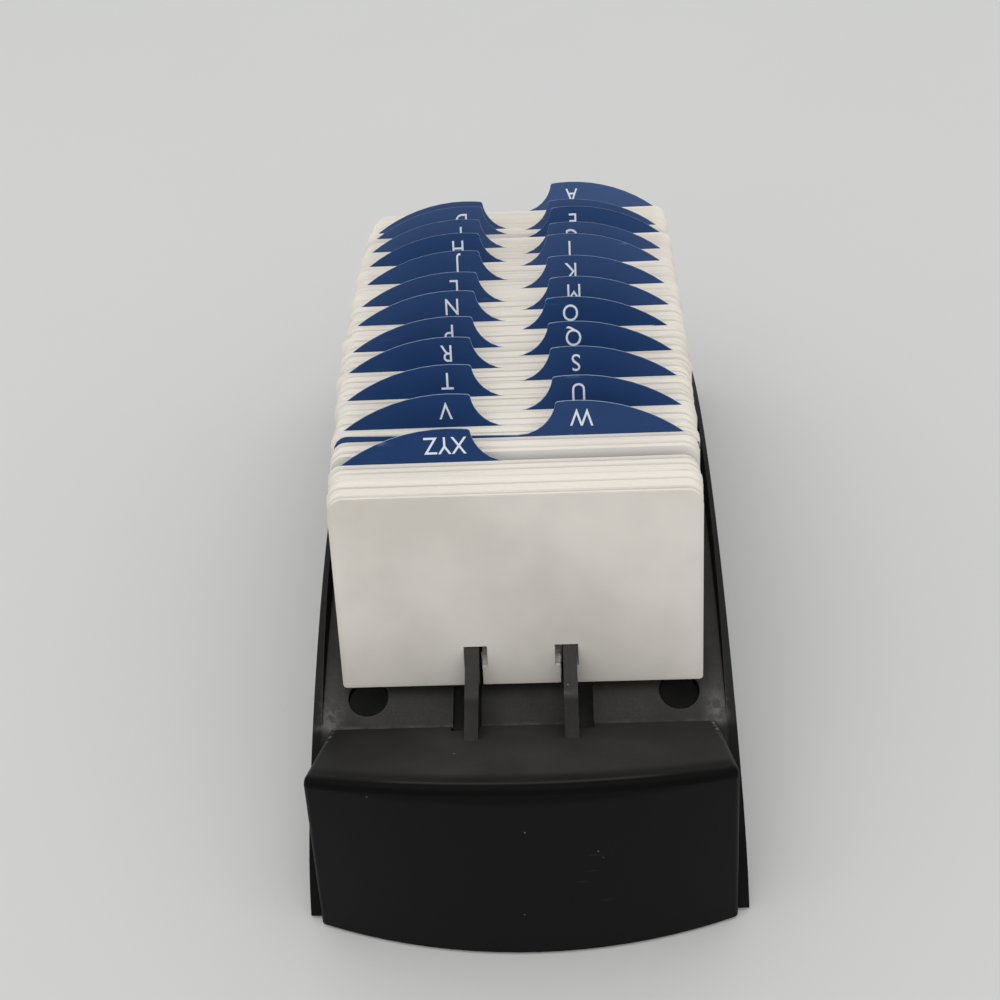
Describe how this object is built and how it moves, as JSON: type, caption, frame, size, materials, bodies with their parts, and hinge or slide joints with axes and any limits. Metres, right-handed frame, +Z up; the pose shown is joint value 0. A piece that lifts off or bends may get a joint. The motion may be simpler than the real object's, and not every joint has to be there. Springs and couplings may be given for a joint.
{
  "type": "desktop card file",
  "caption": "Open-tray desktop card file: arched bed with two hooked rails, curved hollow end blocks, and a leaning deck of notched cards with lettered index guides.",
  "frame": {"origin": "on the desk, under the middle of the tray", "axes": "+Y along the rails from the front end, where the first blank card is, to the far end, +X to the right across the tray, +Z up"},
  "size_m": [0.1224, 0.2592, 0.1132],
  "materials": {
    "tray_plastic": "black injection-moulded styrene with a soft satin sheen, dusty in the corners",
    "foot_rubber": "black rubber",
    "guide_card": "coated card, printed navy blue along the top and on the tab, with a white letter",
    "plain_card": "uncoated white card stock with slightly greyed edges"
  },
  "bodies": {
    "tray_body": {"tray": "tray_plastic", "foot_front_left": "foot_rubber", "foot_front_right": "foot_rubber", "foot_back_left": "foot_rubber", "foot_back_right": "foot_rubber"},
    "cards_01_body": {"cards_01": "plain_card"},
    "cards_02_body": {"cards_02": "plain_card"},
    "guide_xyz_body": {"guide_xyz": "guide_card"},
    "cards_03_body": {"cards_03": "plain_card"},
    "guide_w_body": {"guide_w": "guide_card"},
    "cards_04_body": {"cards_04": "plain_card"},
    "guide_v_body": {"guide_v": "guide_card"},
    "cards_05_body": {"cards_05": "plain_card"},
    "guide_u_body": {"guide_u": "guide_card"},
    "cards_06_body": {"cards_06": "plain_card"},
    "guide_t_body": {"guide_t": "guide_card"},
    "cards_07_body": {"cards_07": "plain_card"},
    "guide_s_body": {"guide_s": "guide_card"},
    "cards_08_body": {"cards_08": "plain_card"},
    "guide_r_body": {"guide_r": "guide_card"},
    "cards_09_body": {"cards_09": "plain_card"},
    "guide_q_body": {"guide_q": "guide_card"},
    "cards_10_body": {"cards_10": "plain_card"},
    "guide_p_body": {"guide_p": "guide_card"},
    "cards_11_body": {"cards_11": "plain_card"},
    "guide_o_body": {"guide_o": "guide_card"},
    "cards_12_body": {"cards_12": "plain_card"},
    "guide_n_body": {"guide_n": "guide_card"},
    "cards_13_body": {"cards_13": "plain_card"},
    "guide_m_body": {"guide_m": "guide_card"},
    "cards_14_body": {"cards_14": "plain_card"},
    "guide_l_body": {"guide_l": "guide_card"},
    "cards_15_body": {"cards_15": "plain_card"},
    "guide_k_body": {"guide_k": "guide_card"},
    "cards_16_body": {"cards_16": "plain_card"},
    "guide_j_body": {"guide_j": "guide_card"},
    "cards_17_body": {"cards_17": "plain_card"},
    "guide_i_body": {"guide_i": "guide_card"},
    "cards_18_body": {"cards_18": "plain_card"},
    "guide_h_body": {"guide_h": "guide_card"},
    "cards_19_body": {"cards_19": "plain_card"},
    "guide_g_body": {"guide_g": "guide_card"},
    "cards_20_body": {"cards_20": "plain_card"},
    "guide_f_body": {"guide_f": "guide_card"},
    "cards_21_body": {"cards_21": "plain_card"},
    "cards_22_body": {"cards_22": "plain_card"},
    "guide_e_body": {"guide_e": "guide_card"},
    "cards_23_body": {"cards_23": "plain_card"},
    "guide_d_body": {"guide_d": "guide_card"},
    "guide_c_body": {"guide_c": "guide_card"},
    "guide_b_body": {"guide_b": "guide_card"},
    "cards_24_body": {"cards_24": "plain_card"},
    "cards_25_body": {"cards_25": "plain_card"},
    "guide_a_body": {"guide_a": "guide_card"}
  },
  "joints": [
    {"name": "tip_cards_01", "type": "hinge", "parent": "tray_body", "child": "cards_01_body", "pos_m": [0, -0.06554, 0.05525], "axis": [1, 0, 0], "range_deg": [0, 60]},
    {"name": "tip_cards_02", "type": "hinge", "parent": "tray_body", "child": "cards_02_body", "pos_m": [0, -0.05868, 0.05666], "axis": [1, 0, 0], "range_deg": [0, 58.91]},
    {"name": "tip_guide_xyz", "type": "hinge", "parent": "tray_body", "child": "guide_xyz_body", "pos_m": [0, -0.05455, 0.05743], "axis": [1, 0, 0], "range_deg": [0, 58.29]},
    {"name": "tip_cards_03", "type": "hinge", "parent": "tray_body", "child": "cards_03_body", "pos_m": [0, -0.05135, 0.05799], "axis": [1, 0, 0], "range_deg": [0, 57.8]},
    {"name": "tip_guide_w", "type": "hinge", "parent": "tray_body", "child": "guide_w_body", "pos_m": [0, -0.04605, 0.05884], "axis": [1, 0, 0], "range_deg": [0, 57.01]},
    {"name": "tip_cards_04", "type": "hinge", "parent": "tray_body", "child": "cards_04_body", "pos_m": [0, -0.04439, 0.05909], "axis": [1, 0, 0], "range_deg": [0, 56.76]},
    {"name": "tip_guide_v", "type": "hinge", "parent": "tray_body", "child": "guide_v_body", "pos_m": [0, -0.04204, 0.05942], "axis": [1, 0, 0], "range_deg": [0, 56.4]},
    {"name": "tip_cards_05", "type": "hinge", "parent": "tray_body", "child": "cards_05_body", "pos_m": [0, -0.03974, 0.05973], "axis": [1, 0, 0], "range_deg": [0, 56.06]},
    {"name": "tip_guide_u", "type": "hinge", "parent": "tray_body", "child": "guide_u_body", "pos_m": [0, -0.03603, 0.06019], "axis": [1, 0, 0], "range_deg": [0, 55.5]},
    {"name": "tip_cards_06", "type": "hinge", "parent": "tray_body", "child": "cards_06_body", "pos_m": [0, -0.03398, 0.06042], "axis": [1, 0, 0], "range_deg": [0, 55.19]},
    {"name": "tip_guide_t", "type": "hinge", "parent": "tray_body", "child": "guide_t_body", "pos_m": [0, -0.03053, 0.06078], "axis": [1, 0, 0], "range_deg": [0, 54.67]},
    {"name": "tip_cards_07", "type": "hinge", "parent": "tray_body", "child": "cards_07_body", "pos_m": [0, -0.02798, 0.06103], "axis": [1, 0, 0], "range_deg": [0, 54.29]},
    {"name": "tip_guide_s", "type": "hinge", "parent": "tray_body", "child": "guide_s_body", "pos_m": [0, -0.02402, 0.06136], "axis": [1, 0, 0], "range_deg": [0, 53.69]},
    {"name": "tip_cards_08", "type": "hinge", "parent": "tray_body", "child": "cards_08_body", "pos_m": [0, -0.02212, 0.0615], "axis": [1, 0, 0], "range_deg": [0, 53.4]},
    {"name": "tip_guide_r", "type": "hinge", "parent": "tray_body", "child": "guide_r_body", "pos_m": [0, -0.01952, 0.06168], "axis": [1, 0, 0], "range_deg": [0, 53.01]},
    {"name": "tip_cards_09", "type": "hinge", "parent": "tray_body", "child": "cards_09_body", "pos_m": [0, -0.01697, 0.06183], "axis": [1, 0, 0], "range_deg": [0, 52.63]},
    {"name": "tip_guide_q", "type": "hinge", "parent": "tray_body", "child": "guide_q_body", "pos_m": [0, -0.01301, 0.06202], "axis": [1, 0, 0], "range_deg": [0, 52.03]},
    {"name": "tip_cards_10", "type": "hinge", "parent": "tray_body", "child": "cards_10_body", "pos_m": [0, -0.01136, 0.06209], "axis": [1, 0, 0], "range_deg": [0, 51.79]},
    {"name": "tip_guide_p", "type": "hinge", "parent": "tray_body", "child": "guide_p_body", "pos_m": [0, -0.00901, 0.06217], "axis": [1, 0, 0], "range_deg": [0, 51.43]},
    {"name": "tip_cards_11", "type": "hinge", "parent": "tray_body", "child": "cards_11_body", "pos_m": [0, -0.00606, 0.06224], "axis": [1, 0, 0], "range_deg": [0, 50.99]},
    {"name": "tip_guide_o", "type": "hinge", "parent": "tray_body", "child": "guide_o_body", "pos_m": [0, -0.001, 0.0623], "axis": [1, 0, 0], "range_deg": [0, 50.23]},
    {"name": "tip_cards_12", "type": "hinge", "parent": "tray_body", "child": "cards_12_body", "pos_m": [0, 0.0004, 0.0623], "axis": [1, 0, 0], "range_deg": [0, 50.01]},
    {"name": "tip_guide_n", "type": "hinge", "parent": "tray_body", "child": "guide_n_body", "pos_m": [0, 0.0025, 0.06229], "axis": [1, 0, 0], "range_deg": [0, 49.7]},
    {"name": "tip_cards_13", "type": "hinge", "parent": "tray_body", "child": "cards_13_body", "pos_m": [0, 0.00505, 0.06226], "axis": [1, 0, 0], "range_deg": [0, 49.31]},
    {"name": "tip_guide_m", "type": "hinge", "parent": "tray_body", "child": "guide_m_body", "pos_m": [0, 0.00901, 0.06217], "axis": [1, 0, 0], "range_deg": [0, 48.72]},
    {"name": "tip_cards_14", "type": "hinge", "parent": "tray_body", "child": "cards_14_body", "pos_m": [0, 0.01066, 0.06212], "axis": [1, 0, 0], "range_deg": [0, 48.47]},
    {"name": "tip_guide_l", "type": "hinge", "parent": "tray_body", "child": "guide_l_body", "pos_m": [0, 0.01301, 0.06202], "axis": [1, 0, 0], "range_deg": [0, 48.12]},
    {"name": "tip_cards_15", "type": "hinge", "parent": "tray_body", "child": "cards_15_body", "pos_m": [0, 0.01557, 0.06191], "axis": [1, 0, 0], "range_deg": [0, 47.73]},
    {"name": "tip_guide_k", "type": "hinge", "parent": "tray_body", "child": "guide_k_body", "pos_m": [0, 0.01952, 0.06168], "axis": [1, 0, 0], "range_deg": [0, 47.14]},
    {"name": "tip_cards_16", "type": "hinge", "parent": "tray_body", "child": "cards_16_body", "pos_m": [0, 0.02132, 0.06156], "axis": [1, 0, 0], "range_deg": [0, 46.87]},
    {"name": "tip_guide_j", "type": "hinge", "parent": "tray_body", "child": "guide_j_body", "pos_m": [0, 0.02452, 0.06132], "axis": [1, 0, 0], "range_deg": [0, 46.38]},
    {"name": "tip_cards_17", "type": "hinge", "parent": "tray_body", "child": "cards_17_body", "pos_m": [0, 0.02748, 0.06107], "axis": [1, 0, 0], "range_deg": [0, 45.94]},
    {"name": "tip_guide_i", "type": "hinge", "parent": "tray_body", "child": "guide_i_body", "pos_m": [0, 0.03253, 0.06058], "axis": [1, 0, 0], "range_deg": [0, 45.18]},
    {"name": "tip_cards_18", "type": "hinge", "parent": "tray_body", "child": "cards_18_body", "pos_m": [0, 0.03458, 0.06035], "axis": [1, 0, 0], "range_deg": [0, 44.87]},
    {"name": "tip_guide_h", "type": "hinge", "parent": "tray_body", "child": "guide_h_body", "pos_m": [0, 0.03804, 0.05994], "axis": [1, 0, 0], "range_deg": [0, 44.35]},
    {"name": "tip_cards_19", "type": "hinge", "parent": "tray_body", "child": "cards_19_body", "pos_m": [0, 0.03984, 0.05971], "axis": [1, 0, 0], "range_deg": [0, 44.08]},
    {"name": "tip_guide_g", "type": "hinge", "parent": "tray_body", "child": "guide_g_body", "pos_m": [0, 0.04304, 0.05928], "axis": [1, 0, 0], "range_deg": [0, 43.6]},
    {"name": "tip_cards_20", "type": "hinge", "parent": "tray_body", "child": "cards_20_body", "pos_m": [0, 0.04484, 0.05902], "axis": [1, 0, 0], "range_deg": [0, 43.32]},
    {"name": "tip_guide_f", "type": "hinge", "parent": "tray_body", "child": "guide_f_body", "pos_m": [0, 0.04805, 0.05853], "axis": [1, 0, 0], "range_deg": [0, 42.84]},
    {"name": "tip_cards_21", "type": "hinge", "parent": "tray_body", "child": "cards_21_body", "pos_m": [0, 0.04985, 0.05824], "axis": [1, 0, 0], "range_deg": [0, 42.57]},
    {"name": "tip_cards_22", "type": "hinge", "parent": "tray_body", "child": "cards_22_body", "pos_m": [0, 0.0552, 0.05732], "axis": [1, 0, 0], "range_deg": [0, 41.76]},
    {"name": "tip_guide_e", "type": "hinge", "parent": "tray_body", "child": "guide_e_body", "pos_m": [0, 0.05806, 0.05678], "axis": [1, 0, 0], "range_deg": [0, 41.34]},
    {"name": "tip_cards_23", "type": "hinge", "parent": "tray_body", "child": "cards_23_body", "pos_m": [0, 0.05946, 0.05651], "axis": [1, 0, 0], "range_deg": [0, 41.12]},
    {"name": "tip_guide_d", "type": "hinge", "parent": "tray_body", "child": "guide_d_body", "pos_m": [0, 0.06156, 0.05609], "axis": [1, 0, 0], "range_deg": [0, 40.81]},
    {"name": "tip_guide_c", "type": "hinge", "parent": "tray_body", "child": "guide_c_body", "pos_m": [0, 0.06406, 0.05557], "axis": [1, 0, 0], "range_deg": [0, 40.43]},
    {"name": "tip_guide_b", "type": "hinge", "parent": "tray_body", "child": "guide_b_body", "pos_m": [0, 0.06606, 0.05514], "axis": [1, 0, 0], "range_deg": [0, 40.13]},
    {"name": "tip_cards_24", "type": "hinge", "parent": "tray_body", "child": "cards_24_body", "pos_m": [0, 0.06839, 0.05462], "axis": [1, 0, 0], "range_deg": [0, 39.78]},
    {"name": "tip_cards_25", "type": "hinge", "parent": "tray_body", "child": "cards_25_body", "pos_m": [0, 0.07515, 0.053], "axis": [1, 0, 0], "range_deg": [0, 38.76]},
    {"name": "tip_guide_a", "type": "hinge", "parent": "tray_body", "child": "guide_a_body", "pos_m": [0, 0.07958, 0.05185], "axis": [1, 0, 0], "range_deg": [0, 38.1]}
  ],
  "couplings": [
    {"joint": "tip_cards_02", "follows": "tip_cards_01", "ratio": 0.9815},
    {"joint": "tip_guide_xyz", "follows": "tip_cards_01", "ratio": 0.97117},
    {"joint": "tip_cards_03", "follows": "tip_cards_01", "ratio": 0.963},
    {"joint": "tip_guide_w", "follows": "tip_cards_01", "ratio": 0.94983},
    {"joint": "tip_cards_04", "follows": "tip_cards_01", "ratio": 0.94567},
    {"joint": "tip_guide_v", "follows": "tip_cards_01", "ratio": 0.93967},
    {"joint": "tip_cards_05", "follows": "tip_cards_01", "ratio": 0.934},
    {"joint": "tip_guide_u", "follows": "tip_cards_01", "ratio": 0.92467},
    {"joint": "tip_cards_06", "follows": "tip_cards_01", "ratio": 0.9195},
    {"joint": "tip_guide_t", "follows": "tip_cards_01", "ratio": 0.91083},
    {"joint": "tip_cards_07", "follows": "tip_cards_01", "ratio": 0.9045},
    {"joint": "tip_guide_s", "follows": "tip_cards_01", "ratio": 0.8945},
    {"joint": "tip_cards_08", "follows": "tip_cards_01", "ratio": 0.88967},
    {"joint": "tip_guide_r", "follows": "tip_cards_01", "ratio": 0.88317},
    {"joint": "tip_cards_09", "follows": "tip_cards_01", "ratio": 0.87683},
    {"joint": "tip_guide_q", "follows": "tip_cards_01", "ratio": 0.86683},
    {"joint": "tip_cards_10", "follows": "tip_cards_01", "ratio": 0.86283},
    {"joint": "tip_guide_p", "follows": "tip_cards_01", "ratio": 0.85683},
    {"joint": "tip_cards_11", "follows": "tip_cards_01", "ratio": 0.8495},
    {"joint": "tip_guide_o", "follows": "tip_cards_01", "ratio": 0.83683},
    {"joint": "tip_cards_12", "follows": "tip_cards_01", "ratio": 0.83317},
    {"joint": "tip_guide_n", "follows": "tip_cards_01", "ratio": 0.828},
    {"joint": "tip_cards_13", "follows": "tip_cards_01", "ratio": 0.8215},
    {"joint": "tip_guide_m", "follows": "tip_cards_01", "ratio": 0.81167},
    {"joint": "tip_cards_14", "follows": "tip_cards_01", "ratio": 0.8075},
    {"joint": "tip_guide_l", "follows": "tip_cards_01", "ratio": 0.80167},
    {"joint": "tip_cards_15", "follows": "tip_cards_01", "ratio": 0.79517},
    {"joint": "tip_guide_k", "follows": "tip_cards_01", "ratio": 0.78533},
    {"joint": "tip_cards_16", "follows": "tip_cards_01", "ratio": 0.78083},
    {"joint": "tip_guide_j", "follows": "tip_cards_01", "ratio": 0.77267},
    {"joint": "tip_cards_17", "follows": "tip_cards_01", "ratio": 0.76533},
    {"joint": "tip_guide_i", "follows": "tip_cards_01", "ratio": 0.75267},
    {"joint": "tip_cards_18", "follows": "tip_cards_01", "ratio": 0.7475},
    {"joint": "tip_guide_h", "follows": "tip_cards_01", "ratio": 0.73883},
    {"joint": "tip_cards_19", "follows": "tip_cards_01", "ratio": 0.73433},
    {"joint": "tip_guide_g", "follows": "tip_cards_01", "ratio": 0.72633},
    {"joint": "tip_cards_20", "follows": "tip_cards_01", "ratio": 0.72167},
    {"joint": "tip_guide_f", "follows": "tip_cards_01", "ratio": 0.71367},
    {"joint": "tip_cards_21", "follows": "tip_cards_01", "ratio": 0.70917},
    {"joint": "tip_cards_22", "follows": "tip_cards_01", "ratio": 0.69567},
    {"joint": "tip_guide_e", "follows": "tip_cards_01", "ratio": 0.68867},
    {"joint": "tip_cards_23", "follows": "tip_cards_01", "ratio": 0.685},
    {"joint": "tip_guide_d", "follows": "tip_cards_01", "ratio": 0.67983},
    {"joint": "tip_guide_c", "follows": "tip_cards_01", "ratio": 0.6735},
    {"joint": "tip_guide_b", "follows": "tip_cards_01", "ratio": 0.6685},
    {"joint": "tip_cards_24", "follows": "tip_cards_01", "ratio": 0.66267},
    {"joint": "tip_cards_25", "follows": "tip_cards_01", "ratio": 0.64567},
    {"joint": "tip_guide_a", "follows": "tip_cards_01", "ratio": 0.63467}
  ]
}
